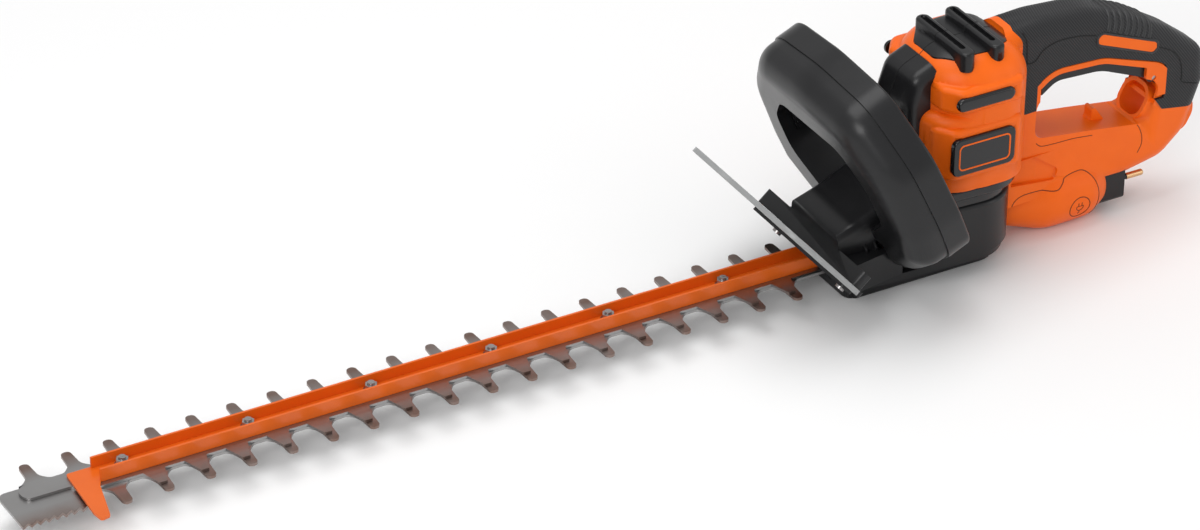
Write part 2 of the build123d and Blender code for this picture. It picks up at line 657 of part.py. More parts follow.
def housing():
    """Both halves of the orange housing with their ribs, and everything cut out for what they hold."""
    outer_handle = rounded_handle(0, GRIP_HALF, 13)
    zone = side_prism(grip_zone(), 40)
    core_outer = rounded_handle(RUBBER, CORE_HALF, 10.5)
    core = core_outer & zone
    solid = dome(0) + side_pads() + inlet_bulge(0) + (outer_handle - zone) + core
    tail = tail_zone()
    solid -= tail
    solid -= prism(collar_outline(-0.3), COLLAR_Z - 0.3, CASE_TOP)
    solid -= case_body(-0.3) & block((-200, 60), (-60, 60), (-10, COLLAR_Z))
    solid -= block((-120, 37.5), (-60, 60), (-10, 30))
    core_zone = dome(1) + rounded_handle(RUBBER + 0.5, CORE_HALF - 0.5, 10)
    void = dome(WALL) + inlet_bulge(WALL)
    void += d_handle(RUBBER + 2.5, CORE_HALF - 2.5, 14.0) & block((40, 205), (-30, 30), (80, 200))
    void += side_prism(outline([(60, 36), (60, 74, 5), (112, 69, 30), (150, 60, 5), (150, 36)]), 12)
    ribs = (dome(WALL - 0.5) & block((-60, 60), (-60, 60), (88, 91))) - upright(STATOR_R + RUN, 80, 95)
    ribs += (dome(WALL - 0.5) & block((-60, 60), (-60, 60), (113, 116))) - upright(STATOR_R + RUN, 110, 120)
    seat = (dome(WALL - 0.5) & block((-60, 60), (-14, 14), (149, 156))) - upright(9.5, 150, 160)
    seat -= upright(SHAFT_R + 1, 140, 160)
    solid = solid - void + ribs + (seat & dome(1.0))
    solid += side_prism(outline(CORD_HOOK), 4.5)
    solid -= side_prism(outline(POCKET), 30) - side_prism(outline(POCKET), GRIP_HALF - POCKET_DEPTH)
    for x, z in HOUSING_SCREWS:
        boss = along_y(4.6, -44, 44, x, z) & core_zone
        solid = solid + boss - along_y(1.5, -12, SCREW_HEAD_Y, x, z) - along_y(3.4, SCREW_HEAD_Y, 60, x, z)
        keep("housing_screws", along_y(1.5, -12, SCREW_HEAD_Y, x, z)
             + (along_y(3.2, SCREW_HEAD_Y, SCREW_HEAD_Y + 2.2, x, z)
                - along_y(1.4, SCREW_HEAD_Y + 0.8, SCREW_HEAD_Y + 3, x, z)))
    solid -= side_prism(finger_hole(SLOT_TOP) & (Pos(117, 118) * Rectangle(108, 62)), TRIGGER_HALF + 0.3)
    solid -= side_prism(finger_hole(STRIPE[0] + 0.3) & (Pos(108.5, 118) * Rectangle(91, 62)), 40)
    solid -= along_y(2.0, -30, 30, *TRIGGER_PIVOT)
    # seats for the covers that are let into the housing
    solid -= spine_body()
    solid -= vent_pocket()
    solid -= plug_pocket()
    solid -= side_trim(60)
    near, far = halves(solid)
    keep("housing_left", max(near.solids(), key=lambda s: s.volume))
    keep("housing_right", max(far.solids(), key=lambda s: s.volume))

    rubber = (outer_handle & zone) - core_outer - dome(0) - tail
    rubber -= side_prism(finger_hole(SLOT_TOP) & (Pos(117, 118) * Rectangle(108, 62)), 60)
    near, far = halves(rubber)
    keep("grip_left", max(near.solids(), key=lambda s: s.volume))
    keep("grip_right", max(far.solids(), key=lambda s: s.volume))


def tail_zone():
    """The rear corner of the handle with the extension cord's tube."""
    return side_prism(outline([(146, 20), (146, 68), (152, 92), (170, 78), (215, 70), (240, 80), (240, 20)]), 60)


def cord_retainer():
    tail = rounded_handle(0, GRIP_HALF, 13) & tail_zone()
    tube = Pos(157, 0, 82) * Rot(0, 118, 0) * extrude(RectangleRounded(29, 30, 12), 46)
    bore = Pos(157, 0, 82) * Rot(0, 118, 0) * Pos(0, 0, -30) * extrude(RectangleRounded(23, 24, 9), 100)
    return (tail + (tube & tail_zone()) + (tube & block((150, 180), (-16, 16), (60, 100)))) - bore


def spine_body():
    """The black cover down the front of the motor housing."""
    side = outline([(-26, CASE_TOP + 0.1), (-53, CASE_TOP + 0.1, 3), (-52.5, 142, 24), (-46, 162, 14), (-30, 169),
                    (-26, 160)])
    body = side_prism(side, SPINE_HALF)
    rims = body.edges().filter_by(lambda e: abs(abs(e.center().Y) - SPINE_HALF) < 0.01 and e.center().X < -40)
    return soften(body, rims, 9) - dome(1) - case_body(0)


def vent_outline(grow):
    g = grow
    near = [(-26 - g, -13 - g, 8), (-15, -27 - g, 8), (14, -29 - g, 10), (30 + g, -21 - g, 10), (35 + g, -8, 10)]
    return near + [(x, -y, r) for x, y, r in reversed(near)]


def vent_pocket():
    return prism(vent_outline(0), VENT_FLOOR, DOME_TOP + 10)


def vent_cover():
    cover = prism(vent_outline(-0.2), VENT_FLOOR, DOME_TOP + 0.8)
    cover &= dome(-0.8)
    cover -= prism(vent_outline(-3.5), 150, 172.2)
    for x in RIB_X:
        rib = Pos(x, RIB_Y, VENT_FLOOR) * extrude(SlotOverall(66, 11, rotation=90), RIB_TOP - VENT_FLOOR)
        rib -= Pos(x, RIB_Y + 3, RIB_TOP - 3) * extrude(SlotOverall(54, 4.2, rotation=90), 6)
        rib = soften(rib, rib.faces().sort_by(Axis.Z)[-1].outer_wire().edges(), 2.2)
        cover += rib - dome(0)
        for k in range(-3, 4):
            cover -= Pos(x, 7 * k + RIB_Y + 3, 170) * Box(3, 4.2, 17)
    return max(cover.solids(), key=lambda piece: piece.volume)


def plug_body():
    body = block((106, PLUG_FACE), (-17, 17), (PLUG_Z - 13, PLUG_Z + 12.4))
    rims = body.edges().filter_by(Axis.X)
    return fillet(rims, 4)


def plug_pocket():
    shell = block((102, PLUG_FACE + 1), (-17.3, 17.3), (PLUG_Z - 13.3, PLUG_Z + 12.7))
    return fillet(shell.edges().filter_by(Axis.X), 4.2)


def plug():
    body = plug_body()
    sleeve_end = PLUG_FACE + SLEEVE_OUT
    for side in (-1, 1):
        y = side * PIN_GAP / 2
        sleeve = along_x(SLEEVE_R, PLUG_FACE - SLEEVE_OUT, sleeve_end, y, PLUG_Z) - along_x(
            CORE_R, PLUG_FACE - SLEEVE_OUT - 1, sleeve_end + 1, y, PLUG_Z)
        pin = along_x(CORE_R, PLUG_FACE - 20, sleeve_end, y, PLUG_Z)
        pin += along_x(PIN_R, sleeve_end, PIN_END, y, PLUG_Z)
        pin = soften(pin, pin.edges().filter_by(lambda e: e.center().X > PIN_END - 0.1), PIN_TIP)
        body -= along_x(SLEEVE_R, PLUG_FACE - SLEEVE_OUT, sleeve_end, y, PLUG_Z)
        body -= along_x(CORE_R, PLUG_FACE - 20, PLUG_FACE, y, PLUG_Z)
        keep("pin_sleeves", sleeve)
        keep("plug_pins", pin)
    keep("plug_body", body)


def rounded_plate(spans, depth, corner, edge):
    """A plate standing on the side wall at +Y, rounded at its corners and round its face."""
    plate = fillet(block(spans["x"], depth, spans["z"]).edges().filter_by(Axis.Y), corner)
    return fillet(plate.faces().sort_by(Axis.Y)[-1].edges(), edge)


def side_pads():
    """Flat pads on the curved side walls that carry the badges and the side vents."""
    pads = None
    for low, high, front in PADS:
        plan = [(front, 20), (front + 1, 34, 6), (front + 11, PAD_FACE, 10), (29, PAD_FACE, 6), (33, 30), (33, 20)]
        pad = prism([(x, y, *r) for x, y, *r in reversed(plan)], low, high)
        rims = pad.edges().filter_by(lambda e: e.center().Y > 36 and min(abs(e.center().Z - low),
                                                                          abs(e.center().Z - high)) < 0.1)
        pad = soften(pad, rims, 4)
        both = pad + mirrored(pad)
        pads = both if pads is None else pads + both
    return pads


def side_trim(face):
    """The badges and vent bars of both sides, or with a far face, their seats."""
    badge = rounded_plate(BADGE, (TRIM_SEAT, face), 6, 1.4)
    bar = rounded_plate(BAR, (TRIM_SEAT, face), 4.9, 2.2)
    if face == TRIM_FACE:
        for plate, node in ((badge, "side_badges"), (bar, "side_vents")):
            keep(node, plate, mirrored(plate))
    return badge + bar + mirrored(badge) + mirrored(bar)


def trigger():
    band = (finger_hole(7.0) - finger_hole(0)) & (Pos(118, 116) * Rectangle(104, 62))
    band &= outline([(60, 112), (60, 150), (175, 150), (175, 99), (150, 99), (120, 112), (100, 118)])
    lever = side_prism(band, TRIGGER_HALF)
    px, pz = TRIGGER_PIVOT
    lever += along_y(4.6, -TRIGGER_HALF, TRIGGER_HALF, px, pz)
    lever = max(lever.solids(), key=lambda s: s.volume)
    return lever - along_y(2.0 + RUN, -30, 30, px, pz)


def inner_parts():
    px, pz = TRIGGER_PIVOT
    keep("trigger_pin", along_y(2.0, -17.5, 17.5, px, pz))
    switch = block((92, 122), (-8, 8), (141, 159))
    switch += block((118, 124), (-3, 3), (138.5, 141))
    keep("main_switch", switch)
    keep("suppressor_capacitor", fillet(block((64, 88), (-7, 7), (142, 158)).edges(), 2))
    wires = along_x(1.4, 122.1, 140, -3, 150) + along_x(1.4, 122.1, 140, 3, 150)
    keep("switch_wires", *[w for w in wires.solids()])


def build_all():
    keep("upper_blade", upper_blade())
    keep("lower_blade", lower_blade())
    keep("support_rail", support_rail())
    blade_fasteners()
    for x in RAIL_PINS:
        keep("rail_pins", along_y(2.0, -16, 16, x, RAIL_PIN_Z))
    drive()
    motor()
    keep("gear_housing", gear_housing())
    keep("gear_cover", gear_cover())
    for x, y in COVER_SCREWS:
        head = upright(4, COVER_HEAD_Z - 2.5, COVER_HEAD_Z, x, y) - upright(2, 10, COVER_HEAD_Z - 1, x, y)
        keep("cover_screws", head + upright(1.9, COVER_HEAD_Z - 1, SPLIT_Z + 12, x, y))
    keep("collar", collar())
    guard()
    bail()
    housing()
    keep("cord_retainer", cord_retainer())
    keep("front_spine", spine_body())
    keep("vent_cover", vent_cover())
    plug()
    side_trim(TRIM_FACE)
    keep("trigger", trigger())
    inner_parts()


def seat_parts():
    for holder, guest in SEATS:
        body = NODES[holder][0]
        for piece in NODES[guest]:
            body -= piece
        NODES[holder] = [max(body.solids(), key=lambda piece: piece.volume)]


build_all()
seat_parts()
for name, solids in NODES.items():
    export_step(Compound(children=[s for item in solids for s in item.solids()]), f"parts/{name}.step")
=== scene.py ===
# %% [markdown]
# A corded hedge trimmer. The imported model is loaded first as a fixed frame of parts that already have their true
# size and place. Everything made here is laid over that frame: smooth skins for the moulded parts, small trim
# that moulding tools leave, and the finishes.

# %% Load the frame
import bmesh
import bpy
import json
import math
from mathutils import Matrix, Vector
from mathutils.bvhtree import BVHTree


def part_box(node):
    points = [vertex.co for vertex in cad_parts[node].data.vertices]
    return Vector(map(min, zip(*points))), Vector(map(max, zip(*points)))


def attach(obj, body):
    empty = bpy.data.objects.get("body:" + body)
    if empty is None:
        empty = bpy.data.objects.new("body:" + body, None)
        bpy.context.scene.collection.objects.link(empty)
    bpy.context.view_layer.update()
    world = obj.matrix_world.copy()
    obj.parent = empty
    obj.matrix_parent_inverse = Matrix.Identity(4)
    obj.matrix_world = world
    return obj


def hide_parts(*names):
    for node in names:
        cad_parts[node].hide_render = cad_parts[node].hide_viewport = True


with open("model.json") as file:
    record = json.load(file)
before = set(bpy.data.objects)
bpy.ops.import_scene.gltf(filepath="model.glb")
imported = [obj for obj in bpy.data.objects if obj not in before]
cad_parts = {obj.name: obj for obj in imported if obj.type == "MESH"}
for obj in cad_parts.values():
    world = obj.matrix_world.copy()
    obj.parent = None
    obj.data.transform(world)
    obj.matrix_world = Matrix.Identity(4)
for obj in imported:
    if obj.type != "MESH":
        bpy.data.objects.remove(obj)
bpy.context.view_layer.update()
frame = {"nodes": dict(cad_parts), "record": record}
nodes = frame["nodes"]
MM = 0.001
print("parts in the frame:", len(nodes))


# %% [markdown]
# Node trees are easier to read when each line makes one node and joins it. These two helpers do that: one adds a
# node and sets its values, the other builds a group with named inputs and outputs that several finishes share.

# %% Helpers for node trees
def add(tree, kind, inputs=None, **settings):
    """A node with its settings, and its inputs set to values or joined to other sockets."""
    node = tree.nodes.new(kind)
    for key, value in settings.items():
        setattr(node, key, value)
    for key, value in (inputs or {}).items():
        if isinstance(value, bpy.types.NodeSocket):
            tree.links.new(value, node.inputs[key])
        else:
            node.inputs[key].default_value = value
    return node


def effect(name, inputs, outputs):
    """An empty shader group with these sockets, and its two end nodes."""
    tree = bpy.data.node_groups.new(name, "ShaderNodeTree")
    for label, kind, value in inputs:
        socket = tree.interface.new_socket(label, in_out="INPUT", socket_type=kind)
        socket.default_value = value
    for label, kind in outputs:
        tree.interface.new_socket(label, in_out="OUTPUT", socket_type=kind)
    return tree, tree.nodes.new("NodeGroupInput"), tree.nodes.new("NodeGroupOutput")


def math_node(tree, operation, a, b=0.0, clamp=False):
    """The result of one sum; each side is a value or a socket."""
    return add(tree, "ShaderNodeMath", {0: a, 1: b}, operation=operation, use_clamp=clamp).outputs[0]


# %% [markdown]
# Moulded plastic copies the fine spark-eroded grain of its steel tool. Close to, that is a shallow pebbled bump a
# few tenths of a millimetre across, with a slow drift in gloss where the plastic cooled unevenly. One noise at
# the grain's size gives the bump and one at hand size gives the drift.

# %% Group: moulded grain
def make_grain():
    tree, start, end = effect(
        "MouldedGrain",
        [("Position", "NodeSocketVector", (0, 0, 0)), ("Grain per metre", "NodeSocketFloat", 2200.0),
         ("Drift", "NodeSocketFloat", 0.1), ("Base roughness", "NodeSocketFloat", 0.4)],
        [("Height", "NodeSocketFloat"), ("Roughness", "NodeSocketFloat"), ("Mottle", "NodeSocketFloat")])
    grain = add(tree, "ShaderNodeTexVoronoi", {"Vector": start.outputs["Position"],
                                               "Scale": start.outputs["Grain per metre"]}, feature="SMOOTH_F1")
    slow = add(tree, "ShaderNodeTexNoise", {"Vector": start.outputs["Position"], "Scale": 38.0, "Detail": 5.0})
    centred = math_node(tree, "SUBTRACT", slow.outputs[0], 0.5)
    swing = math_node(tree, "MULTIPLY", centred, start.outputs["Drift"])
    rough = math_node(tree, "ADD", start.outputs["Base roughness"], swing)
    tree.links.new(grain.outputs["Distance"], end.inputs["Height"])
    tree.links.new(rough, end.inputs["Roughness"])
    tree.links.new(slow.outputs[0], end.inputs["Mottle"])
    return tree


grain_group = make_grain()
print("made", grain_group.name)


# %% [markdown]
# Ground steel shows fine straight scratches along the way it went over the wheel. A noise stretched a hundred
# times along X draws them, and a second, softer noise gives the thin oil film that tints the metal.

# %% Group: ground lines
def make_ground_lines():
    tree, start, end = effect(
        "GroundLines",
        [("Position", "NodeSocketVector", (0, 0, 0)), ("Along", "NodeSocketVector", (14.0, 1500.0, 1500.0)),
         ("Base roughness", "NodeSocketFloat", 0.3)],
        [("Height", "NodeSocketFloat"), ("Roughness", "NodeSocketFloat"), ("Film", "NodeSocketFloat")])
    stretched = add(tree, "ShaderNodeVectorMath", {0: start.outputs["Position"], 1: start.outputs["Along"]},
                    operation="MULTIPLY")
    lines = add(tree, "ShaderNodeTexNoise", {"Vector": stretched.outputs[0], "Scale": 1.0, "Detail": 4.0})
    film = add(tree, "ShaderNodeTexNoise", {"Vector": start.outputs["Position"], "Scale": 60.0, "Detail": 6.0})
    streak = math_node(tree, "MULTIPLY", math_node(tree, "SUBTRACT", lines.outputs[0], 0.5), 0.35)
    tree.links.new(lines.outputs[0], end.inputs["Height"])
    tree.links.new(math_node(tree, "ADD", start.outputs["Base roughness"], streak), end.inputs["Roughness"])
    tree.links.new(film.outputs[0], end.inputs["Film"])
    return tree


ground_group = make_ground_lines()
print("made", ground_group.name)


# %% [markdown]
# The rubber of the rear handle carries close diagonal lines all over, moulded as shallow grooves about 1.6 mm
# apart, so that a wet glove doesn't slip. A band wave on turned Object coordinates gives them, and because it
# reads the object's own space it stays put when the part moves. At scale 1 the wave node draws about pi bands a
# metre, so the number of lines is divided by that.

# %% Group: diagonal grip lines
GRIP_TURN = (0.0, math.radians(38), math.radians(12))
BANDS_AT_SCALE_1 = math.pi


def make_grip_lines():
    tree, start, end = effect(
        "GripLines",
        [("Position", "NodeSocketVector", (0, 0, 0)), ("Lines per metre", "NodeSocketFloat", 620.0)],
        [("Height", "NodeSocketFloat"), ("Valley", "NodeSocketFloat")])
    turned = add(tree, "ShaderNodeMapping", {"Vector": start.outputs["Position"], "Rotation": GRIP_TURN})
    scale = math_node(tree, "MULTIPLY", start.outputs["Lines per metre"], 1 / BANDS_AT_SCALE_1)
    waves = add(tree, "ShaderNodeTexWave", {"Vector": turned.outputs[0], "Scale": scale, "Distortion": 0.0,
                                            "Detail": 0.0}, wave_type="BANDS", bands_direction="X")
    fine = add(tree, "ShaderNodeTexNoise", {"Vector": start.outputs["Position"], "Scale": 3000.0, "Detail": 2.0})
    both = math_node(tree, "ADD", waves.outputs["Fac"], math_node(tree, "MULTIPLY", fine.outputs[0], 0.15))
    tree.links.new(both, end.inputs["Height"])
    tree.links.new(math_node(tree, "SUBTRACT", 1.0, waves.outputs["Fac"]), end.inputs["Valley"])
    return tree


grip_group = make_grip_lines()
print("made", grip_group.name)


# %% [markdown]
# Each finish is a Principled shader with its constants on its own sockets. The groups above feed only colour,
# roughness and bump.

# %% Helper for a finish
def shader(name, **constants):
    """A material with one Principled shader, its Object coordinates, and the constants set on its sockets."""
    material = bpy.data.materials.new(name)
    material.use_nodes = True
    tree = material.node_tree
    tree.nodes.clear()
    out = tree.nodes.new("ShaderNodeOutputMaterial")
    sockets = {key.replace("_", " "): value for key, value in constants.items()}
    surface = add(tree, "ShaderNodeBsdfPrincipled", sockets)
    tree.links.new(surface.outputs[0], out.inputs["Surface"])
    place = add(tree, "ShaderNodeTexCoord").outputs["Object"]
    return material, tree, surface, place


def use(tree, group, inputs):
    """A shader group in this material."""
    return add(tree, "ShaderNodeGroup", inputs, node_tree=group)


def bump(tree, surface, height, strength, depth):
    made = add(tree, "ShaderNodeBump", {"Height": height, "Strength": strength, "Distance": depth})
    tree.links.new(made.outputs[0], surface.inputs["Normal"])


def blend_colour(tree, factor, first, second):
    """The colour between two by a factor; either may be a value or a socket."""
    return add(tree, "ShaderNodeMix", {0: factor, 6: first, 7: second}, data_type="RGBA").outputs[2]


# %% [markdown]
# The orange housing and the black covers are the same satin plastic in two colours. The glossy trim has almost
# no grain and a hard, bright reflection.

# %% Finish: moulded plastics
def plastic(name, dark, light, roughness, grain, depth, strength=0.25, specular=0.5):
    """Moulded plastic that drifts between two colours, with this many grains a metre of this depth in metres."""
    material, tree, surface, place = shader(name, Specular_IOR_Level=specular)
    group = use(tree, grain_group, {"Position": place, "Grain per metre": grain, "Base roughness": roughness})
    colour = blend_colour(tree, group.outputs["Mottle"], (*dark, 1), (*light, 1))
    tree.links.new(colour, surface.inputs["Base Color"])
    tree.links.new(group.outputs["Roughness"], surface.inputs["Roughness"])
    bump(tree, surface, group.outputs["Height"], strength, depth)
    return material


orange_plastic = plastic("orange_plastic", (0.83, 0.120, 0.004), (0.92, 0.150, 0.006), roughness=0.38,
                         grain=2600, depth=0.00008, specular=0.22)
black_plastic = plastic("black_plastic", (0.009, 0.009, 0.010), (0.013, 0.013, 0.014), roughness=0.30,
                        grain=2000, depth=0.00010, specular=0.36)
gloss_black = plastic("gloss_black", (0.006, 0.006, 0.007), (0.009, 0.009, 0.010), roughness=0.14,
                      grain=400, depth=0.00002, strength=0.1)
carbon = plastic("carbon", (0.02, 0.02, 0.02), (0.05, 0.05, 0.05), roughness=0.7, grain=3000, depth=0.0001)
print("plastics:", orange_plastic.name, black_plastic.name, gloss_black.name)


# %% [markdown]
# Rubber is duller than the plastic beside it, and its grooves hold a little shade.

# %% Finish: grip rubber
def rubber(name):
    material, tree, surface, place = shader(name, Specular_IOR_Level=0.3, Sheen_Weight=0.03)
    lines = use(tree, grip_group, {"Position": place})
    grain = use(tree, grain_group, {"Position": place, "Grain per metre": 1500.0, "Base roughness": 0.55})
    colour = blend_colour(tree, lines.outputs["Valley"], (0.030, 0.030, 0.032, 1), (0.008, 0.008, 0.009, 1))
    tree.links.new(colour, surface.inputs["Base Color"])
    tree.links.new(grain.outputs["Roughness"], surface.inputs["Roughness"])
    bump(tree, surface, lines.outputs["Height"], 0.55, 0.0003)
    return material


grip_rubber = rubber("grip_rubber")
print("made", grip_rubber.name)


# %% [markdown]
# The blades are ground steel with a thin oil film that tints the flanks of the teeth brown. The film grows with
# the distance from the middle of the blade, so it needs no painting.

# %% Finish: steels, brass and copper
FILM_FROM, FILM_TO = 0.013, 0.030
LEAST_FILM = 0.1
FILM_LIFT = 0.25


def steel(name, base, film, roughness, teeth=False, along=(14.0, 1500.0, 1500.0)):
    """Ground metal whose colour goes over to the film's; on teeth, the film grows outwards from the middle."""
    material, tree, surface, place = shader(name, Metallic=1.0, Specular_IOR_Level=0.5)
    lines = use(tree, ground_group, {"Position": place, "Along": along, "Base roughness": roughness})
    amount = lines.outputs["Film"]
    if teeth:
        across = add(tree, "ShaderNodeSeparateXYZ", {0: place}).outputs["Y"]
        distance = math_node(tree, "ABSOLUTE", across)
        rise = add(tree, "ShaderNodeMapRange", {0: distance, 1: FILM_FROM, 2: FILM_TO, 3: LEAST_FILM, 4: 1.0})
        lifted = math_node(tree, "ADD", amount, FILM_LIFT)
        amount = math_node(tree, "MULTIPLY", rise.outputs[0], lifted, clamp=True)
    colour = blend_colour(tree, amount, (*base, 1), (*film, 1))
    tree.links.new(colour, surface.inputs["Base Color"])
    tree.links.new(lines.outputs["Roughness"], surface.inputs["Roughness"])
    bump(tree, surface, lines.outputs["Height"], 0.15, 0.00005)
    return material


blade_steel = steel("blade_steel", (0.36, 0.36, 0.36), (0.20, 0.115, 0.085), 0.36, teeth=True)
plated_steel = steel("steel", (0.52, 0.52, 0.53), (0.30, 0.26, 0.24), 0.30)
brass = steel("brass", (0.78, 0.52, 0.28), (0.66, 0.38, 0.18), 0.24)
copper = steel("copper", (0.60, 0.24, 0.11), (0.45, 0.16, 0.07), 0.35, along=(1500.0, 1500.0, 2400.0))
print("metals:", blade_steel.name, plated_steel.name, brass.name, copper.name)


# %% [markdown]
# The support rail is folded steel under an even coat of orange paint. Paint is smoother than moulded plastic and
# has a faint orange-peel ripple under a clear gloss.

# %% Finish: painted rail
def paint(name):
    material, tree, surface, place = shader(name, Coat_Weight=0.2, Coat_Roughness=0.15, Specular_IOR_Level=0.3)
    peel = add(tree, "ShaderNodeTexNoise", {"Vector": place, "Scale": 420.0, "Detail": 2.0})
    grain = use(tree, grain_group, {"Position": place, "Grain per metre": 1200.0, "Base roughness": 0.33})
    colour = blend_colour(tree, grain.outputs["Mottle"], (0.64, 0.105, 0.006, 1), (0.78, 0.135, 0.008, 1))
    tree.links.new(colour, surface.inputs["Base Color"])
    tree.links.new(grain.outputs["Roughness"], surface.inputs["Roughness"])
    bump(tree, surface, peel.outputs[0], 0.2, 0.0002)
    return material


orange_steel = paint("orange_steel")
print("made", orange_steel.name)


# %% [markdown]
# The hand guard is a clear grey sheet. It is thin, so it is modelled as a solid plate that lets most light
# through, with a soft haze that hides the fine scratches of moulding.

# %% Finish: clear guard
def smoked(name):
    material, tree, surface, place = shader(name, Specular_IOR_Level=0.5, Transmission_Weight=0.55, IOR=1.45)
    group = use(tree, grain_group, {"Position": place, "Grain per metre": 600.0, "Base roughness": 0.24})
    colour = blend_colour(tree, group.outputs["Mottle"], (0.52, 0.53, 0.53, 1), (0.62, 0.63, 0.63, 1))
    tree.links.new(colour, surface.inputs["Base Color"])
    tree.links.new(group.outputs["Roughness"], surface.inputs["Roughness"])
    bump(tree, surface, group.outputs["Height"], 0.1, 0.00004)
    return material


clear_guard = smoked("clear_guard")
FINISH = {"orange_plastic": orange_plastic, "black_plastic": black_plastic, "gloss_black": gloss_black,
          "grip_rubber": grip_rubber, "orange_steel": orange_steel, "blade_steel": blade_steel,
          "steel": plated_steel, "clear_guard": clear_guard, "copper": copper, "brass": brass, "carbon": carbon}
print("finishes:", sorted(FINISH))


# %% [markdown]
# Every part of the frame first takes the finish that the record names for it. What stays hidden inside keeps
# this as its final look.

# %% Finishes on the frame's own parts
slot_of = {row["node"]: row["material_slot"] for row in frame["record"]["subparts"]}
for name, obj in nodes.items():
    obj.data.materials.clear()
    obj.data.materials.append(FINISH[slot_of[name]])
print("finished", len(slot_of), "parts")


# %% [markdown]
# The frame's meshes are loose triangles, so curved walls look faceted. A skin is a copy of such a part whose
# triangles are merged and whose flat areas are joined again, so that shading can run smoothly over the curves
# and break only at real edges. The guard and the nuts also get a fine bevel that catches the light; the other
# parts keep the edges they have in the frame.

# %% Helper for skins
body_of = {name: body for body, names in frame["record"]["behaviour"]["bodies"].items() for name in names}
MERGE = 0.00001
FLAT_DEG = 0.6
SMOOTH_DEG = 28
BEVEL_FROM_DEG = 40


def deselect():
    bpy.ops.object.select_all(action="DESELECT")


def only(obj):
    deselect()
    obj.select_set(True)
    bpy.context.view_layer.objects.active = obj


def settle(piece, body, slot, finish=None):
    """Gives a piece the finish that its slot names, or the finish passed in, and hangs it on its body."""
    piece.data.materials.clear()
    piece.data.materials.append(finish or FINISH[slot])
    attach(piece, body)
    return piece


def skin(node, bevel=0.0):
    """A smooth copy of one of the frame's parts, which it replaces."""
    mesh = nodes[node].data.copy()
    piece = bpy.data.objects.new("skin_" + node, mesh)
    bpy.context.scene.collection.objects.link(piece)
    shape = bmesh.new()
    shape.from_mesh(mesh)
    bmesh.ops.remove_doubles(shape, verts=shape.verts, dist=MERGE)
    bmesh.ops.dissolve_limit(shape, angle_limit=math.radians(FLAT_DEG), verts=shape.verts, edges=shape.edges)
    shape.to_mesh(mesh)
    shape.free()
    only(piece)
    if bevel:
        soft = piece.modifiers.new("soft edges", "BEVEL")
        soft.width = bevel
        soft.segments = 2
        soft.limit_method = "ANGLE"
        soft.angle_limit = math.radians(BEVEL_FROM_DEG)
        bpy.ops.object.modifier_apply(modifier=soft.name)
    bpy.ops.object.shade_smooth_by_angle(angle=math.radians(SMOOTH_DEG))
    settle(piece, body_of[node], slot_of[node])
    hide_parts(node)
    return piece


SKINNED = ("housing_left", "housing_right", "grip_left", "grip_right", "cord_retainer", "bail_front_shell",
           "bail_rear_shell", "bail_lever", "gear_housing", "gear_cover", "collar", "front_spine", "vent_cover",
           "guard_plate", "guard_clamp", "plug_body", "plug_pins", "pin_sleeves", "side_badges", "side_vents",
           "trigger", "upper_blade", "lower_blade", "support_rail", "blade_nuts", "blade_screws", "blade_washers")
BEVELS = {"guard_plate": 0.0004, "blade_nuts": 0.0002}
skins = {node: skin(node, BEVELS.get(node, 0.0)) for node in SKINNED}
print("skins:", len(skins))


# %% [markdown]
# Trim has to lie exactly on the moulded walls. Each line or patch is drawn in side view, as it would be on a
# workshop drawing, and each of its points is then dropped onto the skins along a ray. The places come from the
# parts themselves, so the trim fits however the walls curve.

# %% Helpers that lay trim on the skins
def surface_of(*names):
    """One searchable surface of several skins."""
    points, faces = [], []
    for name in names:
        mesh = skins[name].data
        first = len(points)
        points += [vertex.co.copy() for vertex in mesh.vertices]
        faces += [[first + index for index in polygon.vertices] for polygon in mesh.polygons]
    return BVHTree.FromPolygons(points, faces)


def rounded(points, per_corner=5):
    """A smooth open run through these corners, by a Catmull-Rom curve."""
    run = []
    last = len(points) - 1
    for i in range(last):
        a, b, c, d = (Vector(points[min(max(i + k - 1, 0), last)]) for k in range(4))
        for step in range(per_corner):
            t = step / per_corner
            run.append(0.5 * (2 * b + (c - a) * t + (2 * a - 5 * b + 4 * c - d) * t * t
                              + (3 * b - a - 3 * c + d) * t ** 3))
    run.append(Vector(points[-1]))
    return run


def drop_side(surface, x_mm, z_mm, side):
    """The point and outward normal on a wall, seen from the side (-1 near, 1 far)."""
    start = Vector((x_mm * MM, side * 0.2, z_mm * MM))
    place, normal, _, _ = surface.ray_cast(start, Vector((0, -side, 0)))
    if place is None:
        return None
    return place, (normal if normal.y * side > 0 else -normal)


def tube(name, points, radius, body, slot, finish, closed=False, sides=3):
    """A round line through these points, as a mesh."""
    curve = bpy.data.curves.new(name, "CURVE")
    curve.dimensions = "3D"
    curve.bevel_depth = radius
    curve.bevel_resolution = sides
    curve.use_fill_caps = True
    spline = curve.splines.new("POLY")
    spline.points.add(len(points) - 1)
    for point, place in zip(spline.points, points):
        point.co = (*place, 1)
    spline.use_cyclic_u = closed
    piece = bpy.data.objects.new(name, curve)
    bpy.context.scene.collection.objects.link(piece)
    only(piece)
    bpy.ops.object.convert(target="MESH")
    piece = bpy.context.object
    bpy.ops.object.shade_smooth()
    settle(piece, body, slot, finish)
    return piece


def side_line(name, surface, corners, radius, body, slot, finish, sink=0.0, closed=False):
    """A line in side view, laid on both walls: a smooth open run, or a closed ring of straight steps."""
    made = []
    run = [Vector((x, z, 0)) for x, z in corners]
    if not closed:
        run = rounded(run)
    for side, label in ((-1, "near"), (1, "far")):
        laid = []
        for point in run:
            hit = drop_side(surface, point.x, point.y, side)
            if hit:
                laid.append(hit[0] - hit[1] * sink)
        if len(laid) > 2:
            made.append(tube(name + "_" + label, laid, radius, body, slot, finish, closed))
    return made


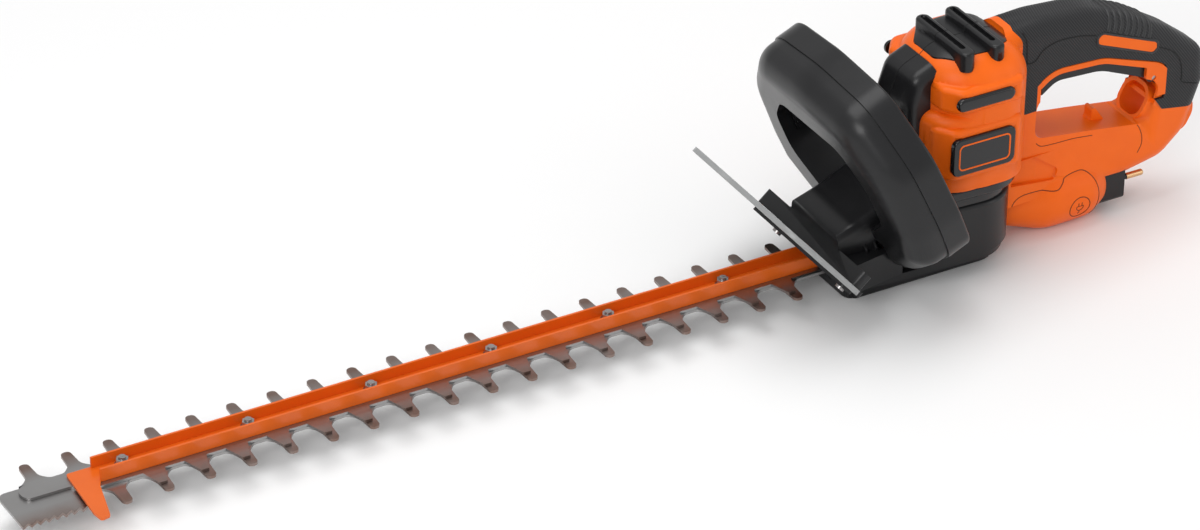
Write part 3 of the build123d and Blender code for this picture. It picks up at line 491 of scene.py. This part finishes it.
def capsule(start, end, half, per_end=8):
    """Corners of a long rounded shape between two points in side view."""
    start, end = Vector(start), Vector(end)
    along = (end - start).normalized()
    across = Vector((-along.y, along.x))
    ring = []
    for centre, way in ((end, 1), (start, -1)):
        for step in range(per_end + 1):
            angle = math.pi * (step / per_end - 0.5)
            ring.append(centre + (along * math.cos(angle) * way + across * math.sin(angle) * way) * half)
    return [(p.x, p.y) for p in ring]


def frame_ring(low, high, radius, per_corner=6):
    """Corners of a rounded rectangle in side view."""
    ring = []
    corners = ((high[0], high[1], 0), (low[0], high[1], 90), (low[0], low[1], 180), (high[0], low[1], 270))
    for cx, cz, start in corners:
        mx = cx - radius if cx == high[0] else cx + radius
        mz = cz - radius if cz == high[1] else cz + radius
        for step in range(per_corner + 1):
            angle = math.radians(start + 90 * step / per_corner)
            ring.append((mx + radius * math.cos(angle), mz + radius * math.sin(angle)))
    return ring


def finer(ring, pieces=3):
    """More points along straight runs, so that a laid line follows the wall between corners."""
    out = []
    for i, (x, z) in enumerate(ring):
        nx, nz = ring[(i + 1) % len(ring)]
        steps = max(1, int(math.hypot(nx - x, nz - z) / pieces))
        for step in range(steps):
            out.append((x + (nx - x) * step / steps, z + (nz - z) * step / steps))
    return out


grip_wall = surface_of("grip_left", "grip_right")
shell_wall = surface_of("housing_left", "housing_right")
whole_wall = surface_of("housing_left", "housing_right", "grip_left", "grip_right", "front_spine", "vent_cover",
                        "cord_retainer")
print("walls ready")


# %% [markdown]
# Where two mouldings meet, or a cover is let in, there is a fine dark gap. A thin, nearly black line sunk into
# the wall reads as that gap from any side.

# %% Finish: seam shadow
seam_dark = plastic("seam_shadow", (0.12, 0.020, 0.003), (0.16, 0.026, 0.004), roughness=0.8,
                    grain=2000, depth=0.00002, strength=0.05)
black_seam = plastic("black_seam", (0.004, 0.004, 0.004), (0.006, 0.006, 0.006), roughness=0.8,
                     grain=2000, depth=0.00002, strength=0.05)
print("seam finishes:", seam_dark.name, black_seam.name)


# %% [markdown]
# The housing's seams: the cover over the cord inlet, the line where the retainer joins the lower bar, and the
# ridge along the bar's top edge.

# %% Seams on both walls
INLET_SEAM = [(40, 24), (41, 30), (44, 37), (51, 40.5), (66, 40), (79, 38), (85, 41), (89, 44.5), (96, 46.5),
              (104, 46), (112, 38.5), (115.6, 27), (115, 14), (113, 6)]
BAR_SEAM = [(141.5, 77), (146, 74), (151, 68), (154, 60), (154, 53), (151, 47)]
TOP_SEAM = [(61.5, 80), (66, 76.5), (76, 75.5), (94, 75), (110, 73)]
seams = side_line("inlet_seam", shell_wall, INLET_SEAM, 0.00035, "frame", "orange_plastic", seam_dark)
seams += side_line("bar_seam", whole_wall, BAR_SEAM, 0.0003, "frame", "orange_plastic", seam_dark)
seams += side_line("top_seam", shell_wall, TOP_SEAM, 0.0003, "frame", "orange_plastic", seam_dark)
print("seams:", len(seams))


# %% [markdown]
# The two halves of the housing meet on the middle plane. Rays aimed at the middle of the motor from in front and
# above find that line over the front cover, the nose and the top cover.

# %% Centre seam
SEAM_CENTRE = Vector((0.0, 0.00003, 0.120))
SEAM_STEPS_A_DEGREE = 1.5
SEAM_RADIUS = 0.00028


def centre_seam(name, first_deg, last_deg, finish):
    laid = []
    steps = int(abs(last_deg - first_deg) * SEAM_STEPS_A_DEGREE)
    for step in range(steps + 1):
        angle = math.radians(first_deg + (last_deg - first_deg) * step / steps)
        away = Vector((math.cos(angle), 0, math.sin(angle)))
        place, _, _, _ = whole_wall.ray_cast(SEAM_CENTRE + away * 0.2, -away)
        if place:
            laid.append(place)
    return tube(name, laid, SEAM_RADIUS, "frame", "black_plastic", finish)


centre_seam("centre_seam", 218, 62, black_seam)
print("centre seam laid")


# %% [markdown]
# The side badge is a glossy plate with a fine orange border set in it. It carries no lettering. The border is a
# rounded rectangle, taken from the plate's own size and laid on its face.

# %% Badge borders
badge_wall = surface_of("side_badges")
badge_low, badge_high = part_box("side_badges")


def box_mm(low, high):
    return (low[0] / MM, low[2] / MM), (high[0] / MM, high[2] / MM)


badge_a, badge_b = box_mm(badge_low, badge_high)
INSET = 5.0
BORDER_RADIUS = 3.5
border_low = (badge_a[0] + INSET, badge_a[1] + INSET)
border_high = (badge_b[0] - INSET, badge_b[1] - INSET)
border = finer(frame_ring(border_low, border_high, BORDER_RADIUS))
side_line("badge_border", badge_wall, border, 0.0007, "frame", "orange_plastic", orange_plastic, sink=0.0002,
          closed=True)
print("badge borders laid")


# %% [markdown]
# A round mark on the inlet cover shows where the extension cord goes: a ring with a plain two-pin plug in it,
# drawn with fine dark lines.

# %% Inlet mark
MARK = (98.5, 20.0)
MARK_RADIUS = 8.6
turns = [math.radians(a) for a in range(0, 360, 10)]
ring = [(MARK[0] + MARK_RADIUS * math.cos(a), MARK[1] + MARK_RADIUS * math.sin(a)) for a in turns]
side_line("inlet_ring", shell_wall, ring, 0.00035, "frame", "orange_plastic", seam_dark, closed=True)
cup = [(-2.8, 1.2), (2.8, 1.2), (2.8, -0.6), (1.6, -2.2), (0, -2.6), (-1.6, -2.2), (-2.8, -0.6)]
side_line("mark_cup", shell_wall, finer([(MARK[0] + x, MARK[1] + z) for x, z in cup], 1), 0.0003, "frame",
          "orange_plastic", seam_dark, closed=True)
for label, stroke in (("left", [(-1.4, 1.4), (-1.4, 4.0)]), ("right", [(1.4, 1.4), (1.4, 4.0)]),
                      ("lead", [(0, -2.6), (0.1, -4.4), (-0.8, -5.6)])):
    side_line("mark_" + label, shell_wall, [(MARK[0] + x, MARK[1] + z) for x, z in stroke], 0.0003, "frame",
              "orange_plastic", seam_dark)
print("inlet mark laid")


# %% [markdown]
# On each side of the grip an orange insert shows through the rubber, inside a raised black lip. The insert is a
# crowned patch: a grid laid over the rubber, lifted a little, and given a thickness.

# %% Grip inserts
PILL_START, PILL_END, PILL_HALF = (113.5, 150.2), (157.5, 132.6), 3.9
PILL_LIFT = 0.0003
PILL_THICK = 0.0012
LIP_OUT = 0.9
GRIP_HALF = 0.0185


def insert(side, label):
    bpy.ops.mesh.primitive_grid_add(x_subdivisions=36, y_subdivisions=8, size=1)
    piece = bpy.context.object
    piece.name = "grip_insert_" + label
    start, end = Vector(PILL_START), Vector(PILL_END)
    along = (end - start).normalized()
    across = Vector((-along.y, along.x))
    length = (end - start).length
    for vertex in piece.data.vertices:
        u, v = vertex.co.x, vertex.co.y
        distance = u * (length + 2 * PILL_HALF)
        beyond = max(0.0, abs(distance) - length / 2)
        reach = math.sqrt(max(0.0, PILL_HALF ** 2 - min(beyond, PILL_HALF) ** 2))
        point = (start + end) / 2 + along * distance + across * (v * 2 * reach)
        hit = drop_side(grip_wall, point.x, point.y, side)
        missed = Vector((point.x * MM, side * GRIP_HALF, point.y * MM))
        vertex.co = hit[0] + hit[1] * PILL_LIFT if hit else missed
    only(piece)
    bpy.ops.object.mode_set(mode="EDIT")
    bpy.ops.mesh.select_all(action="SELECT")
    bpy.ops.mesh.remove_doubles(threshold=MERGE)
    bpy.ops.mesh.normals_make_consistent(inside=False)
    bpy.ops.object.mode_set(mode="OBJECT")
    if sum(polygon.normal.y * side for polygon in piece.data.polygons) < 0:
        piece.data.flip_normals()
    wall = piece.modifiers.new("thickness", "SOLIDIFY")
    wall.thickness = PILL_THICK
    wall.offset = -1
    bpy.ops.object.modifier_apply(modifier=wall.name)
    bpy.ops.object.shade_smooth_by_angle(angle=math.radians(35))
    return settle(piece, "frame", "orange_plastic")


for side, label in ((-1, "near"), (1, "far")):
    insert(side, label)
lip = finer(capsule(PILL_START, PILL_END, PILL_HALF + LIP_OUT), 2)
smooth_rubber = plastic("smooth_rubber", (0.013, 0.013, 0.014), (0.018, 0.018, 0.019), roughness=0.45,
                        grain=1600, depth=0.00006)
side_line("insert_lip", grip_wall, lip, 0.0011, "frame", "grip_rubber", smooth_rubber, sink=0.0003, closed=True)
print("grip inserts laid")


# %% [markdown]
# Eight soft ribs cross the grip under the palm. Each one is a half-sunk round bar that follows the rubber over
# the top from one insert to the other, found by rays in a plane square to the handle. It stops short of the
# inserts, so that their edges stay clean.

# %% Grip ribs
RIB_COUNT = 8
RIB_CLEAR = 6.4
RIB_FIRST, RIB_LAST = (121.0, 163.5), (158.0, 148.0)
RIB_LEAN_DEG, RIB_LEAN_CHANGE = 66, -6
RIB_CORE_DEPTH = 0.012
RIB_SINK = 0.0010
RIB_RADIUS = 0.0019
RIB_HALF_STEPS, RIB_STEP_DEG = 26, 3.6


def lowest(x_mm):
    """How far down a rib may come beside the insert."""
    share = (x_mm - PILL_START[0]) / (PILL_END[0] - PILL_START[0])
    return PILL_START[1] + (PILL_END[1] - PILL_START[1]) * share + RIB_CLEAR


for k in range(RIB_COUNT):
    share = k / (RIB_COUNT - 1)
    axis_x = RIB_FIRST[0] + (RIB_LAST[0] - RIB_FIRST[0]) * share
    axis_z = RIB_FIRST[1] + (RIB_LAST[1] - RIB_FIRST[1]) * share
    lean = math.radians(RIB_LEAN_DEG + RIB_LEAN_CHANGE * share)
    up = Vector((math.cos(lean), 0, math.sin(lean)))
    core = Vector((axis_x * MM, 0, axis_z * MM)) - up * RIB_CORE_DEPTH
    laid = []
    for step in range(-RIB_HALF_STEPS, RIB_HALF_STEPS + 1):
        angle = math.radians(step * RIB_STEP_DEG)
        away = up * math.cos(angle) + Vector((0, 1, 0)) * math.sin(angle)
        place, _, _, _ = grip_wall.ray_cast(core + away * 0.08, -away)
        if place and place.z / MM > lowest(place.x / MM):
            laid.append(place - away * RIB_SINK)
    tube("grip_rib_%d" % (k + 1), laid, RIB_RADIUS, "frame", "grip_rubber", smooth_rubber, sides=4)
print("ribs:", RIB_COUNT)


# %% [markdown]
# Two fine dark grooves mark an edge across the rubber, one before and one behind the finger opening. The diagonal
# lines carry on past them: smooth rubber between the grooves and the opening isn't made.

# %% Edge of the lined rubber
FRONT_EDGE = [(46.5, 172), (48.5, 165), (49.5, 150), (51, 147.6), (57, 148.6), (63, 155.4), (74.5, 159.2),
              (90.7, 158.8), (107.5, 155)]
REAR_EDGE = [(163, 130.8), (175.6, 124), (183, 114.6), (185.4, 103), (185.8, 96.4), (195, 92.6), (200, 91)]
side_line("lined_edge_front", grip_wall, FRONT_EDGE, 0.00045, "frame", "grip_rubber", black_seam)
side_line("lined_edge_rear", grip_wall, REAR_EDGE, 0.00045, "frame", "grip_rubber", black_seam)
print("lined rubber edged")


# %% [markdown]
# At the front end of the sunk panel beside the motor, both of the frame's walls have a window that the real
# housing doesn't have. A thin plate with soft edges lies just inside each wall and covers all but a slit at its
# top. The frame's own walls stay open.

# %% Plates behind the sunk panels
FLOOR_LOW, FLOOR_HIGH = (36.0, 15.2, 43.0), (64.0, 16.6, 69.0)
FLOOR_EDGE = 0.3
for side, label in ((-1, "near"), (1, "far")):
    deselect()
    middle = [(a + b) / 2 * MM for a, b in zip(FLOOR_LOW, FLOOR_HIGH)]
    bpy.ops.mesh.primitive_cube_add(size=1)
    panel = bpy.context.object
    panel.name = "panel_floor_" + label
    bpy.ops.object.mode_set(mode="EDIT")
    bpy.ops.mesh.select_all(action="SELECT")
    bpy.ops.transform.resize(value=[(b - a) * MM for a, b in zip(FLOOR_LOW, FLOOR_HIGH)])
    bpy.ops.transform.translate(value=(middle[0], side * middle[1], middle[2]))
    bpy.ops.object.mode_set(mode="OBJECT")
    soft = panel.modifiers.new("soft edges", "BEVEL")
    soft.width, soft.segments = FLOOR_EDGE * MM, 2
    bpy.ops.object.modifier_apply(modifier=soft.name)
    settle(panel, "frame", "orange_plastic")
print("panel floors: 2")


# %% [markdown]
# Behind the guard, on both sides of the neck, the gear case carries three stiffening fins. One cube is scaled,
# sloped at its top and bevelled, then copied to each of the six places with a mesh of its own.

# %% Fins beside the neck
FIN_X = (-72.0, -80.0, -88.0)
FIN_SPAN = (24.0, 34.5)
FIN_FLOOR = 40.0
FIN_TALL = 12.0
FIN_THICK = 2.2
FIN_DROP = 7.0
FIN_EDGE = 0.7
deselect()
bpy.ops.mesh.primitive_cube_add(size=1)
first_fin = bpy.context.object
first_fin.name = "case_fin_pattern"
shape = bmesh.new()
shape.from_mesh(first_fin.data)
for corner in shape.verts:
    corner.co.x *= FIN_THICK * MM
    corner.co.y *= (FIN_SPAN[1] - FIN_SPAN[0]) * MM
    top = corner.co.z > 0
    corner.co.z = (FIN_TALL if top else 0.0) * MM
    if top and corner.co.y > 0:
        corner.co.z -= FIN_DROP * MM
shape.to_mesh(first_fin.data)
shape.free()
soft = first_fin.modifiers.new("soft edges", "BEVEL")
soft.width, soft.segments = FIN_EDGE * MM, 2
bpy.ops.object.modifier_apply(modifier=soft.name)
bpy.ops.object.shade_smooth_by_angle(angle=math.radians(35))
for side, label in ((-1, "near"), (1, "far")):
    for k, x in enumerate(FIN_X):
        mesh = first_fin.data.copy()
        middle = (FIN_SPAN[0] + FIN_SPAN[1]) / 2 * side
        turned = Matrix.Rotation(0 if side > 0 else math.pi, 4, "Z")
        mesh.transform(Matrix.Translation((x * MM, middle * MM, FIN_FLOOR * MM)) @ turned)
        fin = bpy.data.objects.new("case_fin_%s_%d" % (label, k + 1), mesh)
        bpy.context.scene.collection.objects.link(fin)
        settle(fin, "frame", "black_plastic")
bpy.data.objects.remove(first_fin)
print("fins:", 2 * len(FIN_X))


# %% [markdown]
# The stage is plain: a pale floor at the height of the trimmer's sole, one broad light overhead, one large soft
# light from the left front and a fill from the right, as for a catalogue picture.

# %% Stage and lights
FLOOR_SIZE = 60
SKY_STRENGTH = 0.62
bpy.ops.mesh.primitive_plane_add(size=FLOOR_SIZE, location=(0, 0, 0))
floor = bpy.context.object
floor.name = "floor"
pale_floor = shader("pale_floor", Roughness=0.9, Specular_IOR_Level=0.1, Base_Color=(0.88, 0.88, 0.88, 1))[0]
floor.data.materials.append(pale_floor)

sky = bpy.data.worlds.new("studio")
bpy.context.scene.world = sky
sky.use_nodes = True
sky.node_tree.nodes["Background"].inputs["Color"].default_value = (1.0, 1.0, 1.0, 1)
sky.node_tree.nodes["Background"].inputs["Strength"].default_value = SKY_STRENGTH


def soft_light(name, place, target, size, watts):
    bpy.ops.object.light_add(type="AREA", location=place)
    lamp = bpy.context.object
    lamp.name = name
    lamp.data.shape = "RECTANGLE"
    lamp.data.size, lamp.data.size_y = size
    lamp.data.energy = watts
    lamp.rotation_euler = (Vector(target) - Vector(place)).to_track_quat("-Z", "Y").to_euler()


soft_light("overhead", (-0.3, 0.3, 2.2), (-0.2, 0, 0), (2.4, 1.2), 24)
soft_light("key", (-2.0, -1.6, 1.7), (0, 0, 0.05), (1.2, 1.2), 24)
soft_light("fill", (1.8, -1.8, 0.9), (0, 0, 0.05), (1.0, 1.4), 6)
print("stage set")


# %% [markdown]
# The camera looks from the near side and above, along the whole tool. Its place comes from an aim point, three
# angles and a distance, so that each can be read and changed by itself.

# %% Camera
AIM = Vector((-0.24425, 0.06689, 0.024))
AZIMUTH, ELEVATION, ROLL = math.radians(-29.62), math.radians(32.07), math.radians(0.43)
DISTANCE = 3.31167
LENS_MM = 141.84
back = Vector((math.cos(ELEVATION) * math.sin(AZIMUTH), -math.cos(ELEVATION) * math.cos(AZIMUTH),
               math.sin(ELEVATION)))
lens = bpy.data.cameras.new("camera")
lens.lens = LENS_MM
lens.sensor_width = 36.0
lens.clip_end = 200.0
camera = bpy.data.objects.new("camera", lens)
bpy.context.scene.collection.objects.link(camera)
turn = back.to_track_quat("Z", "Y").to_matrix().to_4x4() @ Matrix.Rotation(ROLL, 4, "Z")
camera.matrix_world = Matrix.Translation(AIM + back * DISTANCE) @ turn
bpy.context.scene.camera = camera
bpy.context.scene.view_settings.view_transform = "Standard"
print("camera at", tuple(round(v, 4) for v in camera.location))
